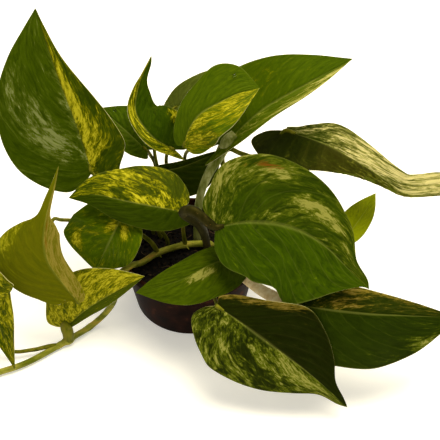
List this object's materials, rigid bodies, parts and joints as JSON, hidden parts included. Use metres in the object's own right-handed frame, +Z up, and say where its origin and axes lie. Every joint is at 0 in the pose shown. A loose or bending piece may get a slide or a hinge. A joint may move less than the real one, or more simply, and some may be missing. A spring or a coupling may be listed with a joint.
{
  "type": "potted pothos plant",
  "caption": "Trailing house plant in a squat round pot: heart-shaped marbled leaves on long stalks and one vine that falls over the rim.",
  "frame": {"origin": "centre of the pot's flat underside", "axes": "+Z up; -Y towards the side of the plant seen in the picture; +X to the right seen from there"},
  "size_m": [0.3977, 0.2256, 0.2082],
  "materials": {
    "pot": "glossy dark brown injection-moulded plastic",
    "soil": "dark loose potting soil with fibres",
    "vine": "smooth yellow-green stem, waxy",
    "leaf": "waxy leaf, green streaked with yellow and cream"
  },
  "bodies": {
    "root": {"pot": "pot", "soil": "soil", "vine_stem": "vine", "leaf_tall_left": "leaf", "leaf_curled_left": "leaf", "leaf_low_left": "leaf", "leaf_vine_gold": "leaf", "leaf_left_gold": "leaf", "leaf_back_small": "leaf", "leaf_back_narrow": "leaf", "leaf_back_grey": "leaf", "leaf_centre_gold": "leaf", "leaf_back_long": "leaf", "leaf_big_right": "leaf", "leaf_right_cream": "leaf", "leaf_right_small": "leaf", "leaf_shade": "leaf", "leaf_front_right": "leaf", "leaf_front_heart": "leaf", "leaf_front_green": "leaf", "leaf_vine_low": "leaf"}
  },
  "joints": []
}
